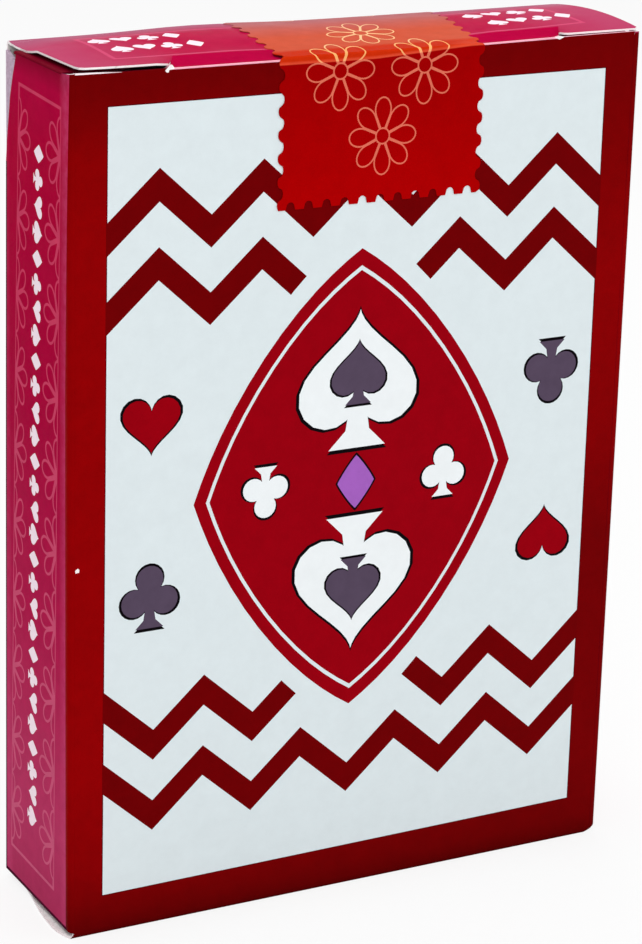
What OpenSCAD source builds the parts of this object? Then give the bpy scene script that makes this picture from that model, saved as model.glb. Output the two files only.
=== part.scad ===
/* [Case] */
// Width of the closed case
case_width = 65; // [64.9:0.1:68]
// Depth of the closed case from its front face to its back face
case_depth = 17.4; // [17.3:0.1:19]
// Height of the closed case
case_height = 92; // [91.8:0.1:96]
// Thickness of the folded board
board = 0.4; // [0.3:0.05:0.4]
// Outer radius of the upright creases
crease_radius = 0.6; // [0.5:0.05:0.6]
// Outer radius of the creases along the bottom
bottom_crease_radius = 0.6; // [0.5:0.05:0.8]
// Drop of the front panel's cut edge below the top of the lid
front_drop = 0.2; // [0.16:0.02:0.8]
// Gap left round a crease that works as a hinge
crease_gap = 0.04; // [0.03:0.01:0.06]

/* [Seam on the left side] */
// Distance of the seam's cut edge from the back face
seam_inset = 0.5; // [0.3:0.1:1.5]
// Height of the slanted relief at the top of the seam
relief_height = 9; // [3:0.5:12]
// Depth of that relief along the top edge
relief_depth = 2.8; // [1:0.1:3]
// Depth of the glue flap behind the seam
glue_flap_depth = 12.5; // [8:0.5:14]
// Slant of the glue flap's two ends
glue_flap_slant = 4; // [1:0.5:8]

/* [Lid and tongue] */
// Inset of the lid's front shoulders from the front face
shoulder_inset = 0.5; // [0.45:0.05:0.6]
// Inset of the lid's ends from the case's sides at the hinge
lid_end_inset = 0.2; // [0.1:0.05:0.5]
// Further inset of the lid's ends at the front
lid_end_taper = 0.8; // [0:0.1:1.5]
// Length of the slit at each end of the lid's front crease
slit_length = 10.2; // [8:0.1:14]
// Width of the cut between a slit and the folded nose
slit_kerf = 0.3; // [0.2:0.05:0.6]
// Middle radius of the lid's rounded nose
nose_radius = 1.2; // [0.9:0.1:1.3]
// Length of the tongue below its fold
tongue_length = 9; // [7:0.5:9]
// Inset of the tongue's sides from the case's sides
tongue_side_inset = 1.5; // [1.3:0.1:3]
// Corner radius at the tongue's tip
tongue_corner_radius = 7; // [3:0.5:7]
// Drop of the tongue's cut shoulders below its fold
tongue_shoulder_drop = 0.3; // [0.25:0.05:1]
// Gap between the front panel and the tongue at the fold
fold_gap = 0.25; // [0.2:0.05:0.3]
// Gap between the front panel and the tongue at its tip
tip_gap = 1.4; // [1.3:0.05:1.4]

/* [Dust flaps] */
// Length of the two flaps under the lid
flap_length = 14; // [8:0.5:14]
// Front end of a flap's crease, measured back from the front face
flap_front = 1.9; // [1.9:0.1:4]
// Back end of a flap's crease, measured forward from the back face
flap_back = 3.5; // [3.5:0.1:5]
// Slant of a flap's front edge over its length
flap_front_slant = 2.6; // [2.6:0.1:5]
// Slant of a flap's back edge over its length
flap_back_slant = 2.2; // [2.2:0.1:3]
// Gap between the flaps and the lid
flap_gap = 0.05; // [0.04:0.01:0.1]
// Length of the two glued flaps in the bottom
bottom_flap_length = 18; // [10:0.5:28]
// Slant of the glued flaps' edges over their length
bottom_flap_slant = 1.5; // [0:0.5:3]

/* [Cards] */
// Width of a card
card_width = 63.5; // [63:0.1:63.5]
// Height of a card
card_height = 88.9; // [88:0.1:88.9]
// Thickness of a card
card_thickness = 0.26; // [0.24:0.005:0.26]
// Air between two neighbouring cards
card_gap = 0.01; // [0.005:0.005:0.01]
// Corner radius of a card
card_corner_radius = 3.2; // [2:0.1:5]
// Gap between the pack of cards and the back panel
deck_back_gap = 0.05; // [0.04:0.01:0.1]
// Gap between the pack of cards and the bottom
deck_floor_gap = 0.02; // [0.01:0.01:0.1]

/* [Seal] */
// Width of the paper seal
seal_width = 23; // [16:0.5:30]
// Length of the seal down the front and down the back
seal_drop = 15.5; // [10:0.5:24]
// Thickness of the seal
seal_thickness = 0.1; // [0.06:0.02:0.12]
// Radius of the round holes along the seal's edges
perforation_radius = 0.6; // [0.3:0.05:0.8]
// Spacing of the holes along the seal's sides
side_perforation_pitch = 2.5; // [1.8:0.1:4]
// Spacing of the holes along the seal's ends
end_perforation_pitch = 2.05; // [1.8:0.05:4]
// Distance of the seal on the lid from the hinge line
seal_hinge_gap = 0.35; // [0.3:0.05:1]
// Shift of the seal to the right of the front's middle
seal_shift = 1.6; // [-3:0.1:3]
// Further shift of the seal on its way across the lid to the hinge
seal_skew = 3; // [-4:0.1:4]

/* [Hidden] */
$fn = 48;
half_w = case_width / 2;
half_d = case_depth / 2;
half_board = board / 2;
panel_half_w = half_w - crease_radius;
panel_half_d = half_d - crease_radius;
front_top = case_height - front_drop;

// Lid hinge along the top of the back panel
hinge_y = half_d - half_board;
hinge_z = case_height - half_board;
back_top = hinge_z - half_board - crease_gap;
lid_under = case_height - board;
shoulder_y = shoulder_inset - half_d;
slit_x = half_w - slit_length;
nose_half_w = slit_x - slit_kerf;

// Fold between the lid's nose and the tongue
fold_y = -half_d + board + fold_gap + half_board;
fold_z = hinge_z - nose_radius;
nose_y = fold_y + nose_radius;
tongue_lean = atan((tip_gap - fold_gap) / tongue_length);
tongue_half_w = half_w - tongue_side_inset;

// Creases of the flaps under the lid
flap_axis_x = half_w - half_board;
flap_axis_z = lid_under - flap_gap - half_board;
flap_front_y = flap_front - half_d;
flap_back_y = half_d - flap_back;
side_top = flap_axis_z - half_board - crease_gap;

// Layers of the bottom, counted up from the table
inner_flap_z = board;
glued_flap_z = 2 * board;
floor_z = 3 * board;
glue_flap_x = board - half_w;
glue_flap_bottom = floor_z + 2 * crease_gap;
glue_flap_top = side_top - 2 * crease_gap;
seam_y = half_d - seam_inset;

// The pack stands centred between the glue flap and the right side
card_x = half_board;
card_z = floor_z + deck_floor_gap;
deck_back_y = half_d - board - deck_back_gap;
card_pitch = card_thickness + card_gap;

// The seal leaves the nose on a tangent that ends at the front panel's top edge
seal_half_w = seal_width / 2;
nose_outer = nose_radius + half_board;
nose_run = nose_y + half_d;
nose_rise = front_top + crease_gap / 2 - fold_z;
nose_reach = norm([nose_run, nose_rise]);
seal_slope = asin(nose_outer / nose_reach) - atan(nose_rise / nose_run);
seal_slope_length = sqrt(nose_reach * nose_reach - nose_outer * nose_outer);

// Each group is its name, its first place in the suit and its number of cards
SUITS = ["spades", "diamonds", "clubs", "hearts"];
GROUPS = [["ace", 0, 1], ["number_cards", 1, 9], ["jack", 10, 1], ["queen", 11, 1], ["king", 12, 1]];
suit_size = 13;
JOKERS = [["red_joker", 0, 1], ["black_joker", 1, 1]];
SUIT_NODES = [
    for (s = [0:len(SUITS) - 1])
        for (g = GROUPS)
            [str(g[0], "_of_", SUITS[s]), len(JOKERS) + s * suit_size + g[1], g[2]]
];
CARD_NODES = concat(JOKERS, SUIT_NODES);
CASE_NODES = [
    "front_panel", "back_panel", "left_side_panel", "right_side_panel", "glue_flap",
    "bottom_outer_flap", "bottom_inner_flap", "bottom_left_flap", "bottom_right_flap",
    "left_dust_flap", "right_dust_flap", "lid_panel", "tuck_tongue",
    "seal_front", "seal_bend", "seal_top", "seal_back"
];

PRINT_RED = [0.54, 0, 0.02];
SIDE_CRIMSON = [0.66, 0.06, 0.25];
LID_PINK = [0.78, 0.22, 0.38];
BARE_BOARD = [0.78, 0.72, 0.74];
SEAL_RED = [0.68, 0, 0.01];
SEAL_ORANGE = [0.86, 0.38, 0.30];
CARD_WHITE = [0.95, 0.95, 0.93];

// Box between two opposite corners
module block(low, high) {
    translate(low) cube(high - low);
}

// Plate whose outline is given in Y and Z, standing from x to x + thickness
module side_plate(x, thickness) {
    translate([x, 0, 0]) rotate([90, 0, 90]) linear_extrude(thickness) children();
}

// Quarter ring of board in the quadrant below both axes
module crease_profile(radius) {
    intersection() {
        difference() {
            circle(radius);
            circle(radius - board);
        }
        translate([-radius, -radius]) square(radius);
    }
}

// Upright crease centred at a point of the plan, turned to its corner
module upright_crease(x, y, turn, low, high) {
    translate([x, y, low]) rotate(turn) linear_extrude(high - low) crease_profile(crease_radius);
}

module front_panel() {
    color(PRINT_RED)
        block([-panel_half_w, -half_d, bottom_crease_radius], [panel_half_w, board - half_d, front_top]);
}

module back_panel() {
    color(PRINT_RED)
        block(
            [glue_flap_x + crease_radius, half_d - board, inner_flap_z + bottom_crease_radius],
            [panel_half_w, half_d, back_top]
        );
}

// Outer side panel: it ends in the cut edge of the seam
module left_side_panel() {
    color(SIDE_CRIMSON) {
        side_plate(-half_w, board)
            polygon([
                [-panel_half_d, glued_flap_z],
                [seam_y, glued_flap_z],
                [seam_y, side_top - relief_height],
                [seam_y - relief_depth, side_top],
                [flap_front_y - crease_gap, side_top],
                [flap_front_y - crease_gap, front_top],
                [-panel_half_d, front_top]
            ]);
        upright_crease(-panel_half_w, -panel_half_d, 0, glued_flap_z, front_top);
    }
}

module right_side_panel() {
    color(SIDE_CRIMSON) {
        side_plate(half_w - board, board)
            polygon([
                [-panel_half_d, glued_flap_z],
                [panel_half_d, glued_flap_z],
                [panel_half_d, side_top],
                [flap_front_y - crease_gap, side_top],
                [flap_front_y - crease_gap, front_top],
                [-panel_half_d, front_top]
            ]);
        upright_crease(panel_half_w, -panel_half_d, 90, glued_flap_z, front_top);
        upright_crease(panel_half_w, panel_half_d, 180, floor_z, side_top);
    }
}

// Flap of the back panel that is glued behind the left side panel
module glue_flap() {
    color(BARE_BOARD) {
        side_plate(glue_flap_x, board)
            polygon([
                [panel_half_d, glue_flap_bottom],
                [panel_half_d, glue_flap_top],
                [panel_half_d - glue_flap_depth, glue_flap_top - glue_flap_slant],
                [panel_half_d - glue_flap_depth, glue_flap_bottom + glue_flap_slant]
            ]);
        upright_crease(glue_flap_x + crease_radius, panel_half_d, 270, glue_flap_bottom, glue_flap_top);
    }
}

// Crease along X below a panel, for the front or, mirrored, for the back
module bottom_crease(length, low) {
    translate([-length / 2, bottom_crease_radius - half_d, low + bottom_crease_radius])
        rotate([90, 0, 90]) linear_extrude(length) crease_profile(bottom_crease_radius);
}

module bottom_outer_flap() {
    color(PRINT_RED) {
        block(
            [lid_end_inset - half_w, bottom_crease_radius - half_d, 0],
            [half_w - lid_end_inset, seam_y, board]
        );
        bottom_crease(2 * panel_half_w, 0);
    }
}

module bottom_inner_flap() {
    flap_half_w = panel_half_w - board;
    color(BARE_BOARD) {
        block(
            [-flap_half_w, bottom_crease_radius - half_d, inner_flap_z],
            [flap_half_w, half_d - bottom_crease_radius, inner_flap_z + board]
        );
        mirror([0, 1, 0]) bottom_crease(2 * flap_half_w, inner_flap_z);
    }
}

// Glued flap on the left, seen from above
module bottom_side_flap() {
    color(BARE_BOARD)
        translate([board - half_w, 0, glued_flap_z]) linear_extrude(board)
            polygon([
                [0, -panel_half_d],
                [bottom_flap_length, bottom_flap_slant - panel_half_d],
                [bottom_flap_length, panel_half_d - bottom_flap_slant],
                [0, panel_half_d]
            ]);
}

module bottom_left_flap() {
    bottom_side_flap();
}

module bottom_right_flap() {
    mirror([1, 0, 0]) bottom_side_flap();
}

// Flap under the lid on the left, with a round crease along its hinge line
module dust_flap() {
    color(SIDE_CRIMSON) {
        translate([-flap_axis_x, flap_front_y, flap_axis_z])
            rotate([-90, 0, 0]) cylinder(r = half_board, h = flap_back_y - flap_front_y);
        translate([-flap_axis_x, 0, flap_axis_z - half_board]) linear_extrude(board)
            polygon([
                [0, flap_front_y],
                [flap_length, flap_front_y + flap_front_slant],
                [flap_length, flap_back_y - flap_back_slant],
                [0, flap_back_y]
            ]);
    }
}

module left_dust_flap() {
    dust_flap();
}

module right_dust_flap() {
    mirror([1, 0, 0]) dust_flap();
}

// Lid plate with two shoulders, the rounded nose between them and the round hinge crease
module lid_panel() {
    back_x = half_w - lid_end_inset;
    front_x = back_x - lid_end_taper;
    color(LID_PINK) {
        translate([0, 0, lid_under]) linear_extrude(board)
            polygon([
                [-back_x, hinge_y],
                [back_x, hinge_y],
                [front_x, shoulder_y],
                [slit_x, shoulder_y],
                [slit_x, nose_y],
                [-slit_x, nose_y],
                [-slit_x, shoulder_y],
                [-front_x, shoulder_y]
            ]);
        translate([-back_x, hinge_y, hinge_z]) rotate([0, 90, 0]) cylinder(r = half_board, h = 2 * back_x);
        translate([-nose_half_w, nose_y, fold_z]) rotate([90, 0, 90]) linear_extrude(2 * nose_half_w)
            nose_profile();
    }
}

// Quarter ring of the nose, cut short above the tongue's crease
module nose_profile() {
    fold_clear = half_board + crease_gap;
    intersection() {
        difference() {
            circle(nose_outer);
            circle(nose_outer - board);
        }
        translate([-nose_outer, fold_clear]) square([nose_outer, nose_outer - fold_clear]);
    }
}

// Tongue outline below its fold: square shoulders and a tip with round corners
module tongue_outline() {
    straight = tongue_length - tongue_corner_radius;
    translate([-nose_half_w, -tongue_shoulder_drop]) square([2 * nose_half_w, tongue_shoulder_drop]);
    translate([-tongue_half_w, -straight])
        square([2 * tongue_half_w, straight - tongue_shoulder_drop]);
    translate([tongue_corner_radius - tongue_half_w, -tongue_length])
        square([2 * (tongue_half_w - tongue_corner_radius), tongue_corner_radius]);
    for (side = [-1, 1])
        translate([side * (tongue_half_w - tongue_corner_radius), -straight]) circle(tongue_corner_radius);
}

module tuck_tongue() {
    color(SIDE_CRIMSON)
        translate([0, fold_y, fold_z]) rotate([tongue_lean, 0, 0]) {
            translate([-nose_half_w, 0, 0]) rotate([0, 90, 0]) cylinder(r = half_board, h = 2 * nose_half_w);
            translate([0, half_board, 0]) rotate([90, 0, 0]) linear_extrude(board)
                intersection() {
                    tongue_outline();
                    translate([-half_w, -tongue_length]) square([case_width, tongue_length]);
                }
        }
}

// Places of the holes along an edge, spread evenly about its middle
function hole_places(length, pitch) =
    let (count = floor(length / pitch))
        [for (i = [0:count - 1]) (i - (count - 1) / 2) * pitch];

// Seal outline with holes along both sides and, where asked, along the lower end
module seal_outline(length, open_end, skew = 0) {
    difference() {
        polygon([
            [-seal_half_w, -length],
            [seal_half_w, -length],
            [seal_half_w + skew, 0],
            [skew - seal_half_w, 0]
        ]);
        for (side = [-1, 1], place = hole_places(length, side_perforation_pitch))
            translate([side * seal_half_w + skew * (place / length + 0.5), place - length / 2])
                circle(perforation_radius);
        if (open_end)
            for (place = hole_places(seal_width, end_perforation_pitch))
                translate([place, -length]) circle(perforation_radius);
    }
}

module seal_front() {
    color(SEAL_RED)
        translate([seal_shift, -half_d, front_top]) rotate([90, 0, 0]) linear_extrude(seal_thickness)
            seal_outline(seal_drop - front_drop, true);
}

module seal_back() {
    color(SEAL_RED)
        translate([seal_shift + seal_skew, half_d + seal_thickness, back_top])
            rotate([90, 0, 0]) linear_extrude(seal_thickness)
                seal_outline(seal_drop - case_height + back_top, true);
}

module seal_top() {
    color(SEAL_ORANGE)
        translate([seal_shift, hinge_y - seal_hinge_gap, case_height]) linear_extrude(seal_thickness)
            seal_outline(hinge_y - seal_hinge_gap - nose_y, false, seal_skew);
}

// Seal over the nose: a short arc, then a straight run down to the front edge
module seal_bend() {
    outer = nose_outer + seal_thickness;
    color(SEAL_ORANGE)
        translate([seal_shift - seal_half_w, nose_y, fold_z]) rotate([90, 0, 90]) linear_extrude(seal_width) {
            intersection() {
                difference() {
                    circle(outer);
                    circle(nose_outer);
                }
                polygon([[0, 0], [0, 2 * outer], [-2 * outer * tan(seal_slope), 2 * outer]]);
            }
            rotate(seal_slope) translate([-seal_slope_length, nose_outer])
                square([seal_slope_length + crease_gap, seal_thickness]);
        }
}

// One card standing upright with its back edge plane at y
module card(y) {
    x = card_width / 2 - card_corner_radius;
    z = card_height / 2 - card_corner_radius;
    translate([card_x, y, card_z + card_height / 2]) rotate([90, 0, 0]) linear_extrude(card_thickness) {
        square([card_width, 2 * z], center = true);
        square([2 * x, card_height], center = true);
        for (side = [-1, 1], end = [-1, 1])
            translate([side * x, end * z]) circle(card_corner_radius);
    }
}

// Cards of one group, each a separate sheet, counted from the back panel
module card_group(first, count) {
    color(CARD_WHITE)
        for (i = [first:first + count - 1])
            card(deck_back_y - i * card_pitch);
}

front_panel();
back_panel();
left_side_panel();
right_side_panel();
glue_flap();
bottom_outer_flap();
bottom_inner_flap();
bottom_left_flap();
bottom_right_flap();
left_dust_flap();
right_dust_flap();
lid_panel();
tuck_tongue();
seal_front();
seal_bend();
seal_top();
seal_back();
for (c = CARD_NODES)
    card_group(c[1], c[2]);
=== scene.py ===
import math

import bpy
from mathutils import Matrix, Vector
from mathutils.geometry import delaunay_2d_cdt


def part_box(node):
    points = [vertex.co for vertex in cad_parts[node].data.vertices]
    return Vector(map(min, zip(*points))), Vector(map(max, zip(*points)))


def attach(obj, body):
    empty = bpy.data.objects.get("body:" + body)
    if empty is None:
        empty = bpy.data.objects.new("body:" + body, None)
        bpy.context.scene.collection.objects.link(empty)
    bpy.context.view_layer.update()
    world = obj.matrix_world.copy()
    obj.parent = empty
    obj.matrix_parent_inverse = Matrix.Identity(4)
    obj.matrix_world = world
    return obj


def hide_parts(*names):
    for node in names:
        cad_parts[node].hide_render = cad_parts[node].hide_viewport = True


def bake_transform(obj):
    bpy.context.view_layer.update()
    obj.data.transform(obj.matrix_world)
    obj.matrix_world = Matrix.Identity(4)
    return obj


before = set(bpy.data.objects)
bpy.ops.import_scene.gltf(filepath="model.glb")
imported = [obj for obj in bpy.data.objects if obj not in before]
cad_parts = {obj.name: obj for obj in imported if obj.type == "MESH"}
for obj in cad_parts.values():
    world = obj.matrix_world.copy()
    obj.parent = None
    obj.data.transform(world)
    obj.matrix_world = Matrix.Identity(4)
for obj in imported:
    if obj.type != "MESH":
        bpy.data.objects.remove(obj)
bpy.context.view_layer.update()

MM = 0.001


def show(thing):
    bpy.context.scene.collection.objects.link(thing)


def node_box(node):
    """A node's lowest and highest corner in millimetres."""
    low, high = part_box(node)
    return [c / MM for c in low], [c / MM for c in high]


# Sizes in millimetres, read from the frame where the CAD model has them.
front_low, front_high = node_box("front_panel")
back_low, back_high = node_box("back_panel")
left_low, left_high = node_box("left_side_panel")
_, right_high = node_box("right_side_panel")
_, outer_high = node_box("bottom_outer_flap")
_, lid_high = node_box("lid_panel")
flap_low, _ = node_box("left_dust_flap")
seal_low, seal_high = node_box("seal_front")
seal_back_low, seal_back_high = node_box("seal_back")

half_w = right_high[0]
face_half = front_high[0]
front_y = front_low[1]
back_y = back_high[1]
crease = half_w - face_half
front_base = front_low[2]
front_top = front_high[2]
side_base = left_low[2]
flap_lap, flap_gap = 0.2, 0.04
side_top = flap_low[2] + flap_lap
flap_front = flap_low[1] - flap_gap
seam_y = left_high[1]
lid_top = lid_high[2]
hinge_inset = 0.2
hinge_y = back_y - hinge_inset
seal_half = (seal_high[0] - seal_low[0]) / 2
seal_x = (seal_high[0] + seal_low[0]) / 2
seal_skew = (seal_back_high[0] + seal_back_low[0]) / 2 - seal_x
seal_base = seal_low[2]
skin = front_y - seal_low[1]
print_board = 0.3


# Materials. Colours are written as 8-bit display values and turned into linear ones.
def linear(*rgb):
    values = [c / 255 for c in rgb]
    return [c / 12.92 if c <= 0.04045 else ((c + 0.055) / 1.055) ** 2.4 for c in values] + [1.0]


def scaled(colour, factor):
    return [min(1.0, c * factor) for c in colour[:3]] + [1.0]


# Noise scales per metre, and the bump depths in metres that go with the grains.
MOTTLE_SCALE, RUB_SHEEN_SCALE, WANDER_SCALE = 620, 900, 260
FIBRE_SCALE, CARD_FIBRE_SCALE, SPECK_SCALE = 2400, 2800, 1300
PRINT_GRAIN = {"grain": 5200, "depth": 1.6e-5}
BOARD_GRAIN = {"grain": 3800, "depth": 3e-5}
FLAP_GRAIN = {"grain": 4200, "depth": 2.4e-5}
CARD_GRAIN = {"grain": 3600, "depth": 2e-5}
ROUGHNESS_WANDER, BUMP_STRENGTH = 0.07, 0.35


def preset(node, values):
    for socket, value in values.items():
        node.inputs[socket].default_value = value
    return node


class Nodes:
    """A short way to lay out one material's nodes."""

    def __init__(self, name):
        self.material = bpy.data.materials.new(name)
        self.material.use_nodes = True
        self.tree = self.material.node_tree
        self.shader = self.tree.nodes["Principled BSDF"]
        self.place = self.add("ShaderNodeTexCoord")

    def add(self, kind, **settings):
        node = self.tree.nodes.new(kind)
        for key, value in settings.items():
            setattr(node, key, value)
        return node

    def link(self, output, socket):
        self.tree.links.new(output, socket)

    def feed(self, value, socket):
        if isinstance(value, (int, float, list)):
            socket.default_value = value
        elif value is not None:
            self.link(value, socket)

    def noise(self, scale, detail=3.0, roughness=0.55, stretch=None):
        node = self.add("ShaderNodeTexNoise")
        preset(node, {"Scale": scale, "Detail": detail, "Roughness": roughness})
        source = self.place.outputs["Object"]
        if stretch:
            mapping = preset(self.add("ShaderNodeMapping"), {"Scale": stretch})
            self.link(source, mapping.inputs["Vector"])
            source = mapping.outputs["Vector"]
        self.link(source, node.inputs["Vector"])
        return node.outputs["Fac"]

    def spread(self, value, low, high, to_low, to_high):
        node = self.add("ShaderNodeMapRange")
        preset(node, {"From Min": low, "From Max": high, "To Min": to_low, "To Max": to_high})
        self.link(value, node.inputs["Value"])
        return node.outputs["Result"]

    def ramp(self, value, stops):
        node = self.add("ShaderNodeValToRGB")
        elements = node.color_ramp.elements
        while len(elements) < len(stops):
            elements.new(1.0)
        for element, (position, colour) in zip(elements, stops):
            element.position = position
            element.color = colour
        self.link(value, node.inputs["Fac"])
        return node.outputs["Color"]

    def shades(self, value, stops):
        return self.ramp(value, [(position, linear(*rgb)) for position, rgb in stops])

    def mix(self, factor, first, second, blend="MIX"):
        node = self.add("ShaderNodeMix", data_type="RGBA", blend_type=blend)
        for value, socket in ((factor, node.inputs[0]), (first, node.inputs[6]), (second, node.inputs[7])):
            self.feed(value, socket)
        return node.outputs[2]

    def math(self, operation, first, second=None):
        node = self.add("ShaderNodeMath", operation=operation)
        for value, socket in zip((first, second), node.inputs):
            self.feed(value, socket)
        return node.outputs["Value"]

    def mottle(self):
        return self.noise(MOTTLE_SCALE, 5, 0.62)

    def mottled(self, base, spread):
        tone = self.ramp(self.mottle(), [(0.3, [1 - 2 * spread] * 3 + [1.0]), (0.7, [1.0] * 4)])
        return self.mix(1.0, base, tone, "MULTIPLY")

    def speckled(self, rgb, darker, lighter):
        base = linear(*rgb)
        return self.ramp(self.mottle(), [(0.3, scaled(base, darker)), (0.7, scaled(base, lighter))])

    def axis(self, name, source="Object"):
        node = self.add("ShaderNodeSeparateXYZ")
        self.link(self.place.outputs[source], node.inputs["Vector"])
        return node.outputs[name]

    def along(self, axis, start, end, share=1.0):
        """Rises from 0 to share between two places in millimetres."""
        return self.spread(self.axis(axis), start * MM, end * MM, 0.0, share)

    def finish(self, colour, roughness, specular, grain, depth):
        """Colour, a roughness that wanders, and the bump of the paper's grain."""
        self.link(colour, self.shader.inputs["Base Color"])
        wander = self.noise(WANDER_SCALE, 4)
        rough = self.spread(wander, 0.3, 0.7, roughness - ROUGHNESS_WANDER, roughness + ROUGHNESS_WANDER)
        self.link(rough, self.shader.inputs["Roughness"])
        self.shader.inputs["Specular IOR Level"].default_value = specular
        bump = preset(self.add("ShaderNodeBump"), {"Strength": BUMP_STRENGTH, "Distance": depth})
        self.link(self.noise(grain, 3), bump.inputs["Height"])
        self.link(bump.outputs["Normal"], self.shader.inputs["Normal"])
        return self.material


# The reach of the border's fade, and of the folds' rubbed wear and painted highlight.
FADE_REACH = 24
RUB_SHEEN_FROM, RUB_SHEEN_TO = 2.4, 0.9


def ink(name, rgb=None, roughness=0.42, specular=0.01, spread=0.06, fade=None, fade_right=None, worn_and_sheen=None,
        tints=()):
    """Printed board. fade gives colours up the height and fade_right those of the right end. worn_and_sheen
    lightens the folds with rubbed wear and a painted highlight. Each tint blends in a colour along an axis
    between two places in millimetres."""
    nodes = Nodes(name)
    if fade:
        height = nodes.along("Z", 0.0, lid_top)
        base = nodes.shades(height, fade)
        if fade_right:
            across = nodes.along("X", -FADE_REACH, FADE_REACH)
            base = nodes.mix(across, base, nodes.shades(height, fade_right))
        colour = nodes.mottled(base, spread)
    else:
        colour = nodes.speckled(rgb, 1 - spread, 1 + spread)
    for axis, start, end, share, tint in tints:
        colour = nodes.mix(nodes.along(axis, start, end, share), colour, linear(*tint))
    # The folds lightened in patches: rubbed wear and a painted highlight.
    if worn_and_sheen:
        depth = nodes.math("ABSOLUTE", nodes.axis("Y"))
        fold = nodes.spread(depth, (back_y - RUB_SHEEN_FROM) * MM, (back_y - RUB_SHEEN_TO) * MM, 0.0, 0.5)
        patches = nodes.spread(nodes.noise(RUB_SHEEN_SCALE, 4, 0.7), 0.38, 0.62, 0.5, 1.0)
        colour = nodes.mix(nodes.math("MULTIPLY", fold, patches), colour, linear(*worn_and_sheen))
    return nodes.finish(colour, roughness, specular, **PRINT_GRAIN)


# Heights at the seal's front fold where its painted light changes: the turn from the front's red to the
# painted sheen, and the painted glint.
TURN_LOW, TURN_HIGH = 91.05, 91.15
GLINT_LOW, GLINT_HIGH = 91.2, 91.45


def seal_ink(name, low, high, glint, edge, top_front_sheen, top_back_sheen):
    """The seal's print with painted light: low to high up the front, a painted glint and a narrow edge band
    with a weaker painted sheen at the fold, and then the red with a painted sheen over the lid,
    top_front_sheen to top_back_sheen."""
    nodes = Nodes(name)
    on_front = nodes.shades(nodes.along("Z", seal_base, front_top), [(0.0, low), (1.0, high)])
    stops = [(0.0, edge), (0.1, edge), (0.15, top_front_sheen), (0.42, top_front_sheen), (0.9, top_back_sheen)]
    on_top = nodes.shades(nodes.along("Y", front_y, back_y), stops)
    lean = nodes.along("X", 1, 12, 0.6 * MM)
    level = nodes.math("SUBTRACT", nodes.axis("Z"), lean)
    glint_share = nodes.spread(level, GLINT_LOW * MM, GLINT_HIGH * MM, 0.8, 0.0)
    on_top = nodes.mix(glint_share, on_top, linear(*glint))
    over_fold = nodes.spread(level, TURN_LOW * MM, TURN_HIGH * MM, 0.0, 1.0)
    base = nodes.mix(over_fold, on_front, on_top)
    return nodes.finish(nodes.mottled(base, 0.05), 0.4, 0.004, **PRINT_GRAIN)


def stock(name, light, dark, roughness=0.78, specular=0.2, stretch=(1, 1, 1)):
    """Bare paper board with fibres and specks."""
    nodes = Nodes(name)
    fibre = nodes.noise(FIBRE_SCALE, 5, 0.7, stretch)
    colour = nodes.shades(fibre, [(0.32, dark), (0.62, light)])
    speck = nodes.spread(nodes.noise(SPECK_SCALE, 2), 0.7, 0.76, 0.0, 0.35)
    colour = nodes.mix(speck, colour, linear(170, 160, 150))
    return nodes.finish(colour, roughness, specular, **BOARD_GRAIN)


GLOSS = {"specular": 0.0025, "roughness": 0.4}
SHEEN = {"specular": 0.0035, "roughness": 0.36}
# The border's colours up the height at its left and right end: darker towards the top, with painted shade
# along the bottom where the floor shades it.
BORDER_LEFT_SHADED = [(0.0, (66, 0, 0)), (0.005, (98, 0, 2)), (0.025, (112, 0, 2)), (0.08, (136, 0, 3)),
               (0.2, (146, 0, 3)), (0.8, (144, 0, 3)), (0.9, (138, 0, 2)), (0.97, (114, 0, 2)),
               (1.0, (108, 0, 2))]
BORDER_RIGHT_SHADED = [(0.0, (62, 0, 0)), (0.005, (96, 0, 1)), (0.025, (110, 0, 2)), (0.1, (118, 0, 3)),
                (0.4, (114, 0, 3)), (0.52, (132, 0, 3)), (0.72, (140, 0, 3)), (0.88, (124, 0, 2)),
                (1.0, (112, 0, 2))]
border_ink = ink("border_red_shaded", fade=BORDER_LEFT_SHADED, fade_right=BORDER_RIGHT_SHADED)
ground_ink = ink("pale_ground", (219, 229, 232), specular=0.03, spread=0.02)
key_ink = ink("keyline", (78, 0, 12))
band_ink = ink("band_red", (108, 0, 3))
motif_ink = ink("motif_red", (148, 0, 15))
black_ink = ink("line_black", (12, 8, 12))
white_ink = ink("motif_white", (236, 241, 243), specular=0.03, spread=0.02)
grey_ink = ink("accent_grey", (84, 70, 90))
violet_ink = ink("accent_violet", (162, 96, 188))
# The sides' crimson up the height, paler towards the bottom with a painted sheen of the floor's light.
SIDE_FADE_SHEEN = [(0.0, (178, 50, 94)), (0.12, (188, 56, 102)), (0.35, (180, 26, 78)), (0.6, (174, 2, 60)),
             (0.9, (178, 0, 54)), (0.955, (180, 0, 60)), (1.0, (182, 2, 64))]
# Painted shade darkening the sides' tops under the lid.
UNDER_LID_SHADE = ("Z", 89.4, 91.2, 0.55, (104, 0, 20))
side_ink = ink("side_crimson_painted_light", fade=SIDE_FADE_SHEEN, worn_and_sheen=(206, 76, 122), tints=[UNDER_LID_SHADE], **GLOSS)
# The frame lines up the height, paler towards the bottom with the sides' painted sheen.
LINE_FADE_SHEEN = [(0.0, (206, 94, 130)), (0.3, (206, 84, 120)), (0.7, (208, 64, 100))]
line_ink = ink("frame_pink", fade=LINE_FADE_SHEEN, **GLOSS)
pip_ink = ink("pip_white", (250, 232, 242), spread=0.02, **GLOSS)
shade_ink = ink("shaded_edge", (74, 8, 40), tints=[("Z", 91.58, 91.66, 1.0, (252, 240, 244))], **GLOSS)
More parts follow.
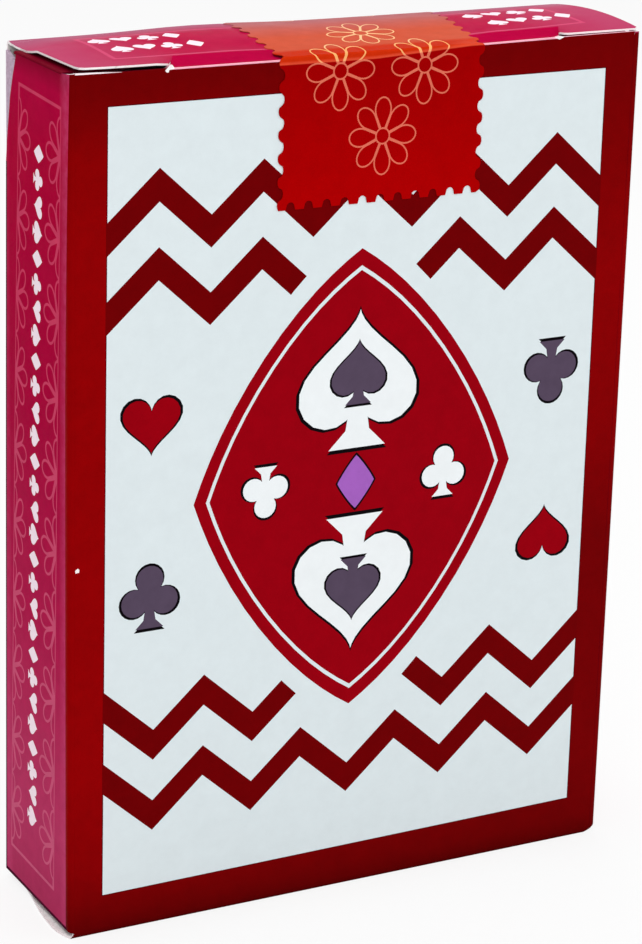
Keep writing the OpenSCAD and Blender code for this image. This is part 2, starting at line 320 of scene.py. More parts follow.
# Rubbed wear with a painted highlight on the front's top edge, whiter towards the left corner.
rubbed_highlight_ink = ink("rubbed_highlight_edge", (255, 176, 194), spread=0.1,
                 tints=[("X", -24, -27, 1.0, (255, 240, 246))], **GLOSS)
# The front's raw top edge: painted shade where it lies under the lid's left shoulder, and a painted
# highlight towards the left corner.
RIM_SHADE_AND_HIGHLIGHT = [("X", -21.6, -22.4, 1.0, (96, 2, 18)), ("X", -27.5, -29.5, 1.0, (255, 240, 244))]
rim_ink = ink("front_rim_shade_highlight", (255, 190, 204), tints=RIM_SHADE_AND_HIGHLIGHT, **GLOSS)
# Painted sheen on the lid: paler and pinker towards its ends, and greyer pink towards its back.
LID_SHEEN_TINTS = [("X", 19, 30, 0.9, (187, 64, 104)), ("X", -19, -30, 0.9, (187, 64, 104)),
             ("Y", 3.5, 7.5, 0.9, (174, 91, 121))]
lid_ink = ink("lid_crimson_sheen", (184, 5, 65), tints=LID_SHEEN_TINTS, **SHEEN)
bevel_ink = ink("bevel_crimson", (180, 5, 62), specular=0.001)
lid_line = ink("lid_frame_pink", (208, 72, 112), **SHEEN)
# The seal is printed red with gold lines. Its orange and paler gold over the lid, its band at the fold and
# its glint are painted sheen and highlight.
seal_fill = seal_ink("seal_red_painted_sheen", low=(174, 0, 2), high=(156, 0, 2), glint=(228, 82, 54),
                     edge=(204, 46, 10), top_front_sheen=(210, 86, 58), top_back_sheen=(184, 104, 108))
seal_line = seal_ink("seal_line_gold_sheen", low=(226, 112, 92), high=(222, 112, 88), glint=(250, 170, 120),
                     edge=(250, 180, 110), top_front_sheen=(252, 204, 150), top_back_sheen=(244, 196, 160))
seal_gum = stock("seal_gummed", (226, 216, 200), (204, 190, 170))
bare = stock("bare_board", (232, 230, 226), (214, 210, 206))
raw = stock("raw_edge", (255, 248, 248), (238, 224, 228), stretch=(1, 1, 5))
torn_and_lit = stock("torn_fibre_and_lit_board", (255, 252, 250), (236, 226, 228))


# Flat outlines in millimetres.
def rect(x0, y0, x1, y1):
    return [(x0, y0), (x1, y0), (x1, y1), (x0, y1)]


def disc(cx, cy, radius, count=20):
    turns = [2 * math.pi * i / count for i in range(count)]
    return [(cx + radius * math.cos(t), cy + radius * math.sin(t)) for t in turns]


def pairs(points):
    """Each point of a closed outline with the next one."""
    return zip(points, points[1:] + points[:1])


def area(points):
    return 0.5 * sum(a[0] * b[1] - b[0] * a[1] for a, b in pairs(points))


def moved(points, cx, cy, scale=1.0, turn=0.0):
    c, s = math.cos(math.radians(turn)) * scale, math.sin(math.radians(turn)) * scale
    return [(cx + c * x - s * y, cy + s * x + c * y) for x, y in points]


def heart(count=36):
    """A heart about 1 high, point down."""
    points = []
    for i in range(count):
        t = 2 * math.pi * (i + 0.5) / count
        x = 16 * math.sin(t) ** 3
        y = 13 * math.cos(t) - 5 * math.cos(2 * t) - 2 * math.cos(3 * t) - math.cos(4 * t)
        points.append((x / 32, (y + 2.5) / 32))
    return points[::-1]


def diamond(half_x=0.4, half_y=0.54, hollow=1.8, count=32):
    points = []
    for i in range(count):
        t = 2 * math.pi * i / count
        c, s = math.cos(t), math.sin(t)
        x, y = math.copysign(abs(c) ** hollow, c), math.copysign(abs(s) ** hollow, s)
        points.append((half_x * x, half_y * y))
    return points


# Each suit as a list of shapes that overlap, about 1 high.
STEM = [(-0.24, -0.56), (0.24, -0.56), (0.1, -0.42), (0.05, -0.1), (-0.05, -0.1), (-0.1, -0.42)]
LEAVES = [disc(x, y, 0.23) for x, y in ((0, 0.24), (-0.25, -0.12), (0.25, -0.12))]
SPADE = [moved(heart(), 0, 0.06, 1.0, 180), STEM]
HEART = [heart()]
CLUB = LEAVES + [disc(0, 0, 0.14), STEM]
DIAMOND = [diamond()]
SUITS = [SPADE, HEART, CLUB, DIAMOND]


def pip(shapes, cx, cy, size, fill, line=0.0, turn=0.0):
    """A suit pip, with a black line round it where line is its width."""
    prints = [(moved(shape, cx, cy, size + 2 * line, turn), black_ink) for shape in shapes if line]
    return prints + [(moved(shape, cx, cy, size, turn), fill) for shape in shapes]


PETAL_HALF_ANGLE = math.radians(23.2)
PETAL_LONG, PETAL_WIDE = 0.33, 0.25
FLOWER_RING = 0.2


def petal(radius, inset=0.0, count=17):
    """A teardrop along +X: an oval cap and straight sides that meet in the flower's middle."""
    middle, tip = radius * (1 - PETAL_LONG), inset / math.sin(PETAL_HALF_ANGLE)
    long, wide = radius * PETAL_LONG - inset, radius * PETAL_WIDE - inset
    reach = math.acos(-long / (middle - tip))
    points = [(tip, 0.0)]
    for i in range(count):
        angle = reach * (2 * i / (count - 1) - 1)
        points.append((middle + long * math.cos(angle), wide * math.sin(angle)))
    return points


def flower(cx, cy, radius, line, angles, ink_line, ink_fill, ring=True):
    """Outlined petals round a ring: all line shapes first, then their fillings."""
    prints = [(moved(petal(radius), cx, cy, 1.0, angle), ink_line) for angle in angles]
    prints += [(moved(petal(radius, line), cx, cy, 1.0, angle), ink_fill) for angle in angles]
    if ring:
        for half_line, material in ((line / 2, ink_line), (-line / 2, ink_fill)):
            prints.append((disc(cx, cy, FLOWER_RING * radius + half_line, 18), material))
    return prints


def stretched(prints, cx, cy, wide, tall):
    return [([(cx + wide * x, cy + tall * y) for x, y in points], material) for points, material in prints]


def frame_line(x0, y0, x1, y1, line, ink_line, ink_fill):
    return [(rect(x0, y0, x1, y1), ink_line), (rect(x0 + line, y0 + line, x1 - line, y1 - line), ink_fill)]


def zigzag(x0, x1, y, period, height, thick):
    count = round((x1 - x0) / period * 2)
    path = []
    for i in range(count + 1):
        rise = height / 2 if i % 2 else -height / 2
        path.append((x0 + (x1 - x0) * i / count, y + rise))
    return [(x, z - thick / 2) for x, z in path] + [(x, z + thick / 2) for x, z in reversed(path)]


def clipped(prints, low, high, axis=0):
    """Printed shapes cut off at two places along or across a sheet."""
    result = []
    for points, material in prints:
        for limit, keep in ((low, 1), (high, -1)):
            cut = []
            for a, b in pairs(points):
                inside_a = (a[axis] - limit) * keep > 0
                inside_b = (b[axis] - limit) * keep > 0
                if inside_a:
                    cut.append(a)
                if inside_a != inside_b:
                    t = (limit - a[axis]) / (b[axis] - a[axis])
                    cut.append((a[0] + (b[0] - a[0]) * t, a[1] + (b[1] - a[1]) * t))
            points = cut
        if len(points) > 2 and abs(area(points)) > 1e-3:
            result.append((points, material))
    return result


def dense(points, step):
    """The same outline with points added along its long edges, so that they follow a bowed sheet."""
    result = []
    for a, b in pairs(points):
        count = max(1, math.ceil(math.dist(a, b) / step))
        for i in range(count):
            result.append((a[0] + (b[0] - a[0]) * i / count, a[1] + (b[1] - a[1]) * i / count))
    return result


# Degrees from one line to the next round a fold, and the flat rim beside it.
FOLD_STEP, FOLD_MARGIN = 12, 0.2


class Fold:
    """The outer line of a folded strip: straight runs and round folds, by the distance along it."""

    def __init__(self, start, heading, moves, side, origin=0.0):
        self.side = side
        self.parts = []
        self.stops = []
        point, angle, s = Vector(start), math.radians(heading), origin
        for length, turn in moves:
            self.parts.append((s, point, angle, length, math.radians(turn)))
            if turn:
                count = max(3, math.ceil(abs(turn) / FOLD_STEP))
                self.stops += [s + length * i / count for i in range(count + 1)]
                self.stops += [s - FOLD_MARGIN, s + length + FOLD_MARGIN]
            s += length
            point, angle = self.step(self.parts[-1], length)
        self.low, self.high = origin, s

    @staticmethod
    def step(part, distance):
        _, point, angle, length, turn = part
        if not turn:
            return point + Vector((math.cos(angle), math.sin(angle))) * distance, angle
        radius = length / turn
        centre = point + Vector((-math.sin(angle), math.cos(angle))) * radius
        angle += turn * distance / length
        return centre + Vector((math.sin(angle), -math.cos(angle))) * radius, angle

    def at(self, s, w=0.0):
        part = self.parts[0]
        for candidate in self.parts:
            if s >= candidate[0]:
                part = candidate
        point, angle = self.step(part, s - part[0])
        return point, Vector((-math.sin(angle), math.cos(angle))) * self.side


def bend(radius, turn):
    return radius * math.radians(abs(turn)), turn


def plan(p, q, w):
    return Vector((p, q, w))


def profile(p, q, w):
    return Vector((w, p, q))


def no_shift(point):
    return 0.0


def sheet(name, at, stops, place, outline, prints, face, thick=print_board, inside=bare, edge=raw, step=3.0,
          shift=no_shift, slide=no_shift):
    """A printed sheet with thickness. at gives the outer line's point and normal for (s, w). Of prints that
    overlap, the later one shows. shift moves the sheet outwards, and slide moves it sideways."""
    coords, edges, loops = [], [], []
    for points in [outline] + [shape for shape, _ in prints]:
        points = dense(points, step)
        loops.append(list(range(len(coords), len(coords) + len(points))))
        coords += points if area(points) > 0 else points[::-1]
    s_low, s_high = min(p[0] for p in outline), max(p[0] for p in outline)
    w_low, w_high = min(p[1] for p in outline), max(p[1] for p in outline)
    rows = max(2, math.ceil((w_high - w_low) / step))
    row = [w_low + (w_high - w_low) * i / rows for i in range(rows + 1)]
    for s in sorted(set(stops)):
        if s_low < s < s_high:
            first = len(coords)
            coords += [(s, w) for w in row]
            edges += [(first + i, first + i + 1) for i in range(rows)]
    columns = max(1, math.ceil((s_high - s_low) / step))
    for i in range(1, columns):
        coords += [(s_low + (s_high - s_low) * i / columns, w) for w in row[1:-1]]

    points, _, cells, _, _, owners = delaunay_2d_cdt([Vector(c) for c in coords], edges, loops, 1, 1e-5)
    materials = [face]
    for _, material in prints:
        if material not in materials:
            materials.append(material)
    materials += [inside, edge]
    kept = [(list(cell), max(owner)) for cell, owner in zip(cells, owners) if 0 in owner]

    outer, inner, normals = [], [], []
    for s, w in points:
        flat, normal = at(s, w)
        spot, out = place(flat.x, flat.y, w + slide(s)), place(normal.x, normal.y, 0.0)
        spot += out * shift(spot)
        outer.append(spot)
        inner.append(spot - out * thick)
        normals.append(out)
    count = len(points)
    a, b, c = kept[0][0]
    flip = (outer[b] - outer[a]).cross(outer[c] - outer[a]).dot(normals[a]) < 0

    faces, slots, border = [], [], set()
    for cell, owner in kept:
        cell = cell[::-1] if flip else cell
        faces += [cell, [i + count for i in cell[::-1]]]
        slots += [materials.index(prints[owner - 1][1]) if owner else 0, len(materials) - 2]
        for a, b in pairs(cell):
            if (b, a) in border:
                border.remove((b, a))
            else:
                border.add((a, b))
    for a, b in sorted(border):
        faces.append([b, a, a + count, b + count])
        slots.append(len(materials) - 1)

    used = sorted({i for f in faces for i in f})
    number = {old: new for new, old in enumerate(used)}
    mesh = bpy.data.meshes.new(name)
    mesh.from_pydata([(outer + inner)[i] * MM for i in used], [], [[number[i] for i in f] for f in faces])
    for material in materials:
        mesh.materials.append(material)
    mesh.polygons.foreach_set("material_index", slots)
    mesh.polygons.foreach_set("use_smooth", [True] * len(faces))
    rim = {frozenset((number[a], number[b])) for a, b in border}
    rim |= {frozenset((number[a + count], number[b + count])) for a, b in border}
    for line in mesh.edges:
        line.use_edge_sharp = frozenset(line.vertices) in rim
    mesh.update()
    piece = bpy.data.objects.new(name, mesh)
    show(piece)
    return piece


def stands_for(piece, body, slot, *nodes):
    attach(piece, body)
    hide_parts(*nodes)


def clamp(value):
    return min(1.0, max(0.0, value))


def smooth(value):
    value = clamp(value)
    return value * value * (3 - 2 * value)


def eased(value, start, width):
    """0 up to start, 1 from width beyond it, and smooth between."""
    return smooth((value - start) / width)


# The lid's crease and slits. On the lid, s is the distance from the middle towards the front.
lid_crease_y = -5.2
tuck_y = front_y + 0.45
slit_end = -lid_crease_y + 0.1
shoulder = -front_y - 0.35
SLIT_STEP = 0.3
LEFT_SLIT, LEFT_LEAN = -20.0, 1.8
RIGHT_SLIT, RIGHT_LEAN = 24.5, 1.75


def slits(s):
    """Where the lid's two slits run: from their ends to the front edge they lean to the left."""
    deep = clamp((s - slit_end) / (shoulder - slit_end))
    return LEFT_SLIT - LEFT_LEAN * deep, RIGHT_SLIT - RIGHT_LEAN * deep


def tucked(s, x):
    """1 on the part of the lid between the slits, 0 on its shoulders."""
    left_slit, right_slit = slits(s)
    return smooth((x - left_slit) / SLIT_STEP + 0.5) * smooth((right_slit - x) / SLIT_STEP + 0.5)


# How far the panels bow out between their folds.
FACE_BOW, SIDE_BOW, SIDE_CLEAR = 0.2, 0.15, 0.02


def face_bow(point):
    across = math.cos(math.pi * point.x / (2 * face_half))
    return FACE_BOW * max(0.0, across * math.sin(math.pi * clamp(point.z / front_top)))


def side_bow(point):
    across = math.cos(math.pi * point.y / (2 * back_y))
    return SIDE_CLEAR + SIDE_BOW * max(0.0, across * math.sin(math.pi * clamp(point.z / side_top)))


def lid_depth(point):
    return clamp((hinge_y - point.y) / (hinge_y - front_y))


def hinge_bulge(point):
    height, bulge_x, reach = 0.34, -11.5, 8
    return height * math.exp(-((point.x - bulge_x) / reach) ** 2) * (1 - lid_depth(point)) ** 2


def lid_bow(point):
    """The lid crowns between its hinge and its crease, held down by the seal; its right end arches up,
    and its left end is dented at the back."""
    held_crown, free_crown, crown_depth = 0.34, 0.06, 0.72
    left_lift, right_lift = 0.12, 0.22
    arch_middle, arch_front = 0.7, 0.17
    dent_depth, dent_rise = 0.24, 0.44
    deep = lid_depth(point)
    free = eased(abs(point.x - seal_x), 10, 6)
    rise = (held_crown + free_crown * free) * math.sin(math.pi * min(1.0, deep / crown_depth))
    rise += hinge_bulge(point)
    rise += free * (right_lift if point.x > 0 else left_lift) * eased(deep, 0.45, 0.3)
    arch = arch_middle * math.sin(math.pi * deep) ** 0.8 + arch_front * deep ** 3
    rise += (arch - rise) * eased(point.x, 14, 18.5) ** 1.5
    dent = dent_rise * eased(-point.y, -3.4, 1.9) - dent_depth * eased(deep, 0, 0.1)
    rise += (dent - rise) * clamp((-point.x - 25) / 6.3) ** 2
    down = 1 - clamp((point.y - tuck_y) / (lid_crease_y - tuck_y))
    return rise * (1 - down * tucked(-point.y, point.x))


def front_edge(x):
    """The height of the front's top edge, which is not quite level."""
    drop, right_rise, corner_rise = 0.2, 0.36, 0.12
    return front_top - drop + right_rise * eased(x, -6, 38) + corner_rise * eased(-x, 27, 4)


# Front and back: a dark red border round a pale ground with a two-way suit design.
CORNER_SIGNS = [(-1, 1), (1, 1), (1, -1), (-1, -1)]
GROUND = [(-28.4, 88.25), (28.5, 88.3), (28.65, 4.85), (-28.7, 4.4)]
ground_x, ground_z = 28.6, 41.9


def within(corners, half_u, half_v, prints):
    """Places flat shapes drawn round a rectangle's middle within four corners."""
    def place(x, z):
        u, v = x / half_u, z / half_v
        shares = [(c, (1 + u * a) * (1 + v * b) / 4) for c, (a, b) in zip(corners, CORNER_SIGNS)]
        return sum(c[0] * k for c, k in shares), sum(c[1] * k for c, k in shares)

    return [([place(x, z) for x, z in points], material) for points, material in prints]


def lozenge(half_x, half_z, count=12, swell=0.17):
    corners = [(0, -half_z), (half_x, 0), (0, half_z), (-half_x, 0)]
    points = []
    for a, b in pairs(corners):
        for i in range(count):
            t = i / count
            pull = 1 + swell * math.sin(math.pi * t)
            points.append(((a[0] + (b[0] - a[0]) * t) * pull, (a[1] + (b[1] - a[1]) * t) * pull))
    return points


def face_design():
    x, z = ground_x, ground_z
    keyline, past_ground = 0.1, 0.15
    prints = [(rect(-x - keyline, -z - keyline, x + keyline, z + keyline), key_ink),
              (rect(-x, -z, x, z), ground_ink)]
    for level in (31.2, 23.2):
        band = zigzag(-x - past_ground, x + past_ground, level, period=2 * x / 5, height=5.2, thick=3.4)
        prints += [(band, band_ink), (moved(band, 0, 0, 1.0, 180), band_ink)]
    prints += [(lozenge(20.6, 28.0), ground_ink), (lozenge(18.8, 25.2), motif_ink),
               (lozenge(17.4, 23.4), ground_ink), (lozenge(17.0, 22.9), motif_ink)]
    for side, turn in ((1, 0), (-1, 180)):
        prints += pip(SPADE, 0, side * 11.6, 14.0, white_ink, 0.38, turn)
        prints += pip(SPADE, 0, side * 12.1, 6.4, grey_ink, 0.24, turn)
        prints += pip(CLUB, side * 10.6, 0, 5.4, white_ink, 0.3, turn)
        prints += pip(HEART, side * -23.6, side * 9.0, 6.4, motif_ink, 0.3, turn)
        prints += pip(CLUB, side * -23.6, side * -9.0, 6.6, grey_ink, 0.3, turn)
    prints += pip(DIAMOND, 0, 0, 5.4, violet_ink, 0.3)
    return within(GROUND, x, z, prints)


# A small nick in the front's border.
NICK = [(-31.8, 40.8), (-31.4, 40.85), (-31.38, 41.15), (-31.55, 41.3), (-31.85, 41.1)]
# Torn fibres on the front's top edge where the lid's slits end.
LEFT_TEAR = [(-0.55, -0.19), (-0.42, -0.37), (-0.19, -0.4), (-0.1, -0.15), (0.35, -0.09), (0.48, 0.0),
             (0.19, 0.34), (-0.1, 0.31)]
RIGHT_TEAR = [(-0.6, 0.0), (0.0, -0.24), (0.6, 0.0), (0.0, 0.14)]
left_tear_x, right_tear_x = -21.82, 22.64
# Widths of the painted highlight lines along the front's top edge.
RUB_HIGHLIGHT_LINE, RUB_HIGHLIGHT_TIP = 0.13, 0.03


def on_front_edge(points, x):
    return [(x + u, front_edge(x) + v) for u, v in points]


def edge_points(*places):
    return [(x, front_edge(x)) for x in places]


def rubbed_highlight(*places):
    """A rubbed line with a painted highlight along the front's top edge."""
    return [(x, z - RUB_HIGHLIGHT_LINE) for x, z in edge_points(*places)] + edge_points(*reversed(places))


LEFT_CORNER = (-27, -29, -face_half)
corner_rub_highlight = [(-face_half, front_edge(-face_half) - RUB_HIGHLIGHT_LINE), (-27, front_edge(-27) - RUB_HIGHLIGHT_TIP)]
corner_rub_highlight += edge_points(*LEFT_CORNER)
left_tear = on_front_edge(LEFT_TEAR, left_tear_x)
right_tear = on_front_edge(RIGHT_TEAR, right_tear_x)
front = Fold((-face_half, front_y), 0, [(2 * face_half, 0)], -1, -face_half)
front_outline = [(-face_half, front_base), (face_half, front_base)]
front_outline += edge_points(face_half, 27)
front_outline += [right_tear[2], right_tear[3], right_tear[0]]
front_outline += edge_points(18, 14, 5, -5, -15)
front_outline += [left_tear[5], left_tear[6], left_tear[7], (left_tear_x - 0.55, front_edge(left_tear_x))]
front_outline += edge_points(*LEFT_CORNER)
front_wear_and_highlights = [(NICK, torn_and_lit), (corner_rub_highlight, rubbed_highlight_ink), (rubbed_highlight(-21.8, -15, -8), rubbed_highlight_ink),
              (rubbed_highlight(13.4, 18, 22.5), rubbed_highlight_ink), (left_tear, torn_and_lit), (right_tear, torn_and_lit)]
front_piece = sheet("front_print", front.at, front.stops, plan, front_outline, face_design() + front_wear_and_highlights,
                    border_ink, edge=rim_ink, shift=face_bow)
stands_for(front_piece, "case", "printed_front", "front_panel")

hinge_strip = 0.7
back_crease_z = back_high[2] - hinge_strip
back = Fold((-face_half, back_y), 0, [(2 * face_half, 0)], 1, -face_half)
back_piece = sheet("back_print", back.at, back.stops, plan,
                   rect(-face_half, back_low[2], face_half, back_crease_z),
                   face_design(), border_ink, shift=face_bow)
stands_for(back_piece, "case", "printed_front", "back_panel")


# Sides: a thin frame line with half flowers on it, and a row of suit pips up the middle.
side_u, side_v = 5.64, 42.19
LEFT_FRAME = [(-6.85, 88.2), (3.89, 88.7), (7.08, 4.25), (-4.73, 3.9)]
RIGHT_FRAME = [(-5.8, 88.4), (5.8, 88.4), (5.8, 4.1), (-5.8, 4.1)]


def side_design(corners):
    line, inset = 0.34, 0.17
    bloom_pitch, bloom_tall = 8.235, 1.02
    pips, pip_reach, pip_size = 28, side_v - 6, 2.3
    prints = frame_line(-side_u, -side_v, side_u, side_v, line, line_ink, side_ink)
    half_flowers = []
    for edge_y, facing, first, wide in ((inset - side_u, 0, 4.22, 0.93), (side_u - inset, 180, 3.8, 0.82)):
        angles = [facing + turn for turn in (-90, -45, 0, 45, 90)]
        bloom = flower(0, 0, 4.0, 0.28, angles, line_ink, side_ink, ring=False)
        for i in range(-5, 5):
            half_flowers += stretched(bloom, edge_y, first + bloom_pitch * i, wide, bloom_tall)
    half_flowers = clipped(half_flowers, inset - side_u, side_u - inset)
    prints += clipped(half_flowers, inset - side_v, side_v - inset, axis=1)
    for i in range(pips):
        prints += pip(SUITS[i % 4], 0, pip_reach * (2 * i / (pips - 1) - 1), pip_size, pip_ink, turn=90)
    return within(corners, side_u, side_v, prints)


arc = bend(crease, 90)[0]
flat_front = front_y + crease
wrap = 0.8 * arc
left = Fold((-face_half, front_y), 180, [bend(crease, -90), (seam_y - flat_front, 0)], 1, flat_front - arc)
SEAM = [(0.4, side_base), (0.1, 20), (-0.3, 45), (-0.65, 65), (-0.9, 80), (-1.25, 82.6), (-1.6, 84.4),
        (-2.1, 87), (-2.75, 89), (-3.3, 90.4), (-3.6, side_top)]
seam = [(seam_y + y, z) for y, z in SEAM]
left_outline = [(left.low, front_base), (left.low + arc, side_base)] + seam
left_outline += [(flap_front, side_top), (flap_front, front_top - 0.3), (left.low, front_edge(-face_half))]
seam_straight, seam_shade_width = seam[:5], 0.3
seam_shade = seam_straight + [(y - seam_shade_width, z) for y, z in reversed(seam_straight)]
base_shade = [(left.low + arc, side_base), seam[0], (seam[0][0], side_base + 0.4),
              (left.low + arc, side_base + 0.32)]
left_border = [(left.low, 0), (-7.85, 0), (-7.8, 60), (-8.5, front_top), (left.low, front_top)]
left_edges = [(left_border, border_ink), (seam_shade, shade_ink), (base_shade, shade_ink)]
left_piece = sheet("left_print", left.at, left.stops, plan, left_outline,
                   side_design(LEFT_FRAME) + left_edges, side_ink, edge=shade_ink, shift=side_bow)
stands_for(left_piece, "case", "printed_side", "left_side_panel")


def right_bow(point):
    fold_out = 0.18
    return side_bow(point) + fold_out * eased(point.x, face_half, crease)


right = Fold((face_half, front_y), 0, [bend(crease, 90), (2 * (back_y - crease), 0), bend(crease, 90)], -1,
             flat_front - arc)
WORN_CORNER = [(0.0, front_base), (0.35, front_base), (0.7, 0.85), (1.4, 1.2), (2.5, side_base)]
right_corner = [(right.low + turn * arc, z) for turn, z in WORN_CORNER]
right_outline = right_corner + [(right.high, side_base), (right.high, side_top), (flap_front, side_top),
                                (flap_front, front_top), (right.low, front_edge(face_half))]
right_borders = [(rect(right.low, 0, right.low + arc + 0.4, front_top), border_ink),
                 (rect(right.high - wrap, side_base, right.high, side_top), border_ink)]
right_stops = right.stops + [right.low + wrap, right.high - wrap]
right_piece = sheet("right_print", right.at, right_stops, plan, right_outline,
                    side_design(RIGHT_FRAME) + right_borders, side_ink, edge=shade_ink, shift=right_bow)
stands_for(right_piece, "case", "printed_side", "right_side_panel")


# Bottom: the outer flap comes round the front fold, and its cut left end bows out and lifts at the back.
base_half, base_turn = outer_high[0], 0.2
base_bend = bend(base_turn, 90)
under_run = [(front_base - base_turn, 0), base_bend, (outer_high[1] - front_y - base_turn, 0)]
under = Fold((front_y, front_base), 270, under_run, -1, front_y + 2 * base_turn - front_base - base_bend[0])


def end_lift(point):
    lift = 0.45
    toward_end = clamp((-point.x - 26) / 6) ** 2
    return -lift * toward_end * eased(point.y, 1, 7)


left_end = [(under.low, -face_half), (front_y - 0.25, -32.1), (front_y, -32.35), (-8.35, -32.45),
            (-7.56, -32.78), (-6.4, -33.02), (-5.24, -33.06), (-3.4, -32.98), (-1.4, -32.78), (0.3, -32.52),
            (1.9, -32.25), (5.0, -31.95), (under.high, -31.9)]
BASE_CORNER = [(1.6, -0.8), (0.4, -1.3), (-0.05, -0.5), (-0.25, 0.0)]
right_end = [(under.high, base_half), (front_y + 2.5, base_half)]
right_end += [(front_y + y, face_half + x) for y, x in BASE_CORNER]
right_end += [(under.low + 0.1, face_half + 0.3), (under.low, face_half + 0.3)]
base_margin = 3.0
under_prints = frame_line(front_y + base_margin, base_margin - base_half, under.high - 2.4,
                          base_half - base_margin, 0.3, line_ink, side_ink)
under_prints.append((rect(under.low, -33, front_y + base_turn, base_half), border_ink))
# The flap's inner face takes the whiter torn stock: painted light on a face that lies in the box's shadow.
under_piece = sheet("bottom_print", under.at, under.stops, profile, left_end + right_end, under_prints,
                    side_ink, inside=torn_and_lit, shift=end_lift)
stands_for(under_piece, "case", "printed_side", "bottom_outer_flap")


# Lid: flat shoulders outside the slits, and between them a bevel that turns down behind the front.
hinge_radius, hinge_run = 0.5, 0.6
lid_start = back_y - hinge_radius - hinge_run
lid_run = [(lid_start - lid_crease_y, 0)]
nose_run = [bend(0.6, 10), (2.75, 0), bend(0.3, 80)]
nosed = Fold((lid_start, lid_top), 180, lid_run + nose_run, -1, -lid_start)
flat_lid = Fold((lid_start, lid_top), 180, lid_run, -1, -lid_start)
lid_board = 0.21


def lid_at(s, w):
    share = tucked(s, w)
    (low, low_out), (high, high_out) = nosed.at(s), flat_lid.at(s)
    return high.lerp(low, share), high_out.lerp(low_out, share).normalized()


left_slit_back, right_slit_back = slits(slit_end)
left_slit_front, right_slit_front = slits(shoulder)
cut_end, half_cut = shoulder - 1.2, 0.06
left_cut_end, right_cut_end = slits(cut_end)
left_shoulder = [(-lid_start, -31.8), (0, -31.6), (shoulder - 1.0, -31.45), (shoulder - 0.25, -31.25),
                 (shoulder, -30.8), (shoulder, left_slit_front - half_cut)]
nose = [(cut_end, left_cut_end), (nosed.high, left_slit_front + half_cut),
        (nosed.high, right_slit_front - half_cut), (cut_end, right_cut_end)]
right_shoulder = [(shoulder - 0.5, right_slit_front + 0.45), (shoulder - 0.15, right_slit_front + 0.75),
                  (shoulder, right_slit_front + 1.2), (shoulder, 32.15), (shoulder - 0.35, 32.55),
                  (0, 32.55), (-lid_start, 32.4)]
lid_outline = left_shoulder + nose + right_shoulder


def bevel(margin):
    """The lid's bevel with a margin beyond the slits."""
    return [(slit_end, left_slit_back - margin), (nosed.high, left_slit_front - margin),
            (nosed.high, right_slit_front + margin), (slit_end, right_slit_back + margin)]


BEVEL_STEP = SLIT_STEP / 2
# The lid's frame line is drawn wide, so that its front stretch along the crease is also a painted highlight
# of the crease.
lid_prints = frame_line(-5.2, -26.2, 5.05, 28.1, 0.45, lid_line, lid_ink)
lid_prints += [(bevel(BEVEL_STEP), lid_ink), (bevel(0.0), bevel_ink), (bevel(-BEVEL_STEP), bevel_ink)]
lid_pip_pitch, lid_pip_size = 2.7, 2.4
for x, s in ((-24.4, -3.0), (-23.6, 1.0), (18.8, -3.0), (19.6, 1.0)):
    for i, suit in enumerate(SUITS):
        lid_prints += pip(suit, s, x + lid_pip_pitch * i, lid_pip_size, pip_ink, turn=90)
lid_piece = sheet("lid_print", lid_at, nosed.stops, profile, lid_outline, lid_prints, lid_ink,
                  thick=lid_board, step=1.3, shift=lid_bow)
stands_for(lid_piece, "lid", "printed_lid", "lid_panel")


def on_hinge(point):
    """0 on the back, 1 where the hinge has turned into the lid."""
    return eased(point.z - lid_top, -0.6, 0.5)


def hinge_bow(point):
    return face_bow(point) + lid_bow(point) * on_hinge(point)


def bends_at_hinge(piece):
    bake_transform(piece)


hinge_left, hinge_right = -31.8, 32.2
hinge_bend = [(lid_top - hinge_radius - back_crease_z, 0), bend(hinge_radius, 90), (hinge_run, 0)]
hinge = Fold((back_y, back_crease_z), 90, hinge_bend, -1)
hinge_outline = rect(0, hinge_left, hinge.high, hinge_right)
back_border = rect(0, hinge_left, lid_top - 0.3 - back_crease_z, hinge_right)
hinge_piece = sheet("lid_crease", hinge.at, hinge.stops, profile, hinge_outline,
                    [(back_border, border_ink)], lid_ink, shift=hinge_bow)
bends_at_hinge(hinge_piece)


# Seal: one perforated strip up the front, over the bevel and the lid, and down the back.
front_slope, back_slope = 3.2, 4.8
front_lean, back_lean = math.radians(front_slope), math.radians(back_slope)
crown_from, crown_radius = 1.2, 25
fold_turn, seal_hinge = 0.3, hinge_radius + skin
fold_z = front_top - 0.2
fold_end = front_y - skin + fold_turn * (1 - math.sin(front_lean))
crown_end = crown_from + crown_radius * (math.sin(front_lean) + math.sin(back_lean))
hinge_start = back_y + skin - seal_hinge * (1 - math.sin(back_lean))
up_front = (fold_z - seal_base, 0)
front_fold = bend(fold_turn, front_slope - 90)
lid_front = ((crown_from - fold_end) / math.cos(front_lean), 0)
crown = bend(crown_radius, -front_slope - back_slope)
lid_back = ((hinge_start - crown_end) / math.cos(back_lean), 0)
back_fold = bend(seal_hinge, back_slope - 90)
down_back = (lid_top - hinge_radius - seal_back_low[2], 0)
strip = Fold((front_y - skin, seal_base), 90,
             [up_front, front_fold, lid_front, crown, lid_back, back_fold, down_back], 1, seal_base)
corner, lid_to, back_from = (strip.parts[i][0] for i in (2, 5, 6))
hinge_margin = 0.7
hinge_from, hinge_to = lid_to - hinge_margin, back_from + hinge_margin


def seal_bow(point):
    return face_bow(point) + hinge_bulge(point) * on_hinge(point)


def seal_share(s):
    """0 up to the front fold, 1 from the hinge on."""
    return clamp((s - corner) / (lid_to - corner))


def seal_slide(s):
    aside, skew_share = 0.25, 0.85
    return seal_x + aside + skew_share * seal_skew * seal_share(s)


def seal_half_at(s):
    wider, flare = 0.28, 0.7
    return seal_half + wider + flare * seal_share(s)


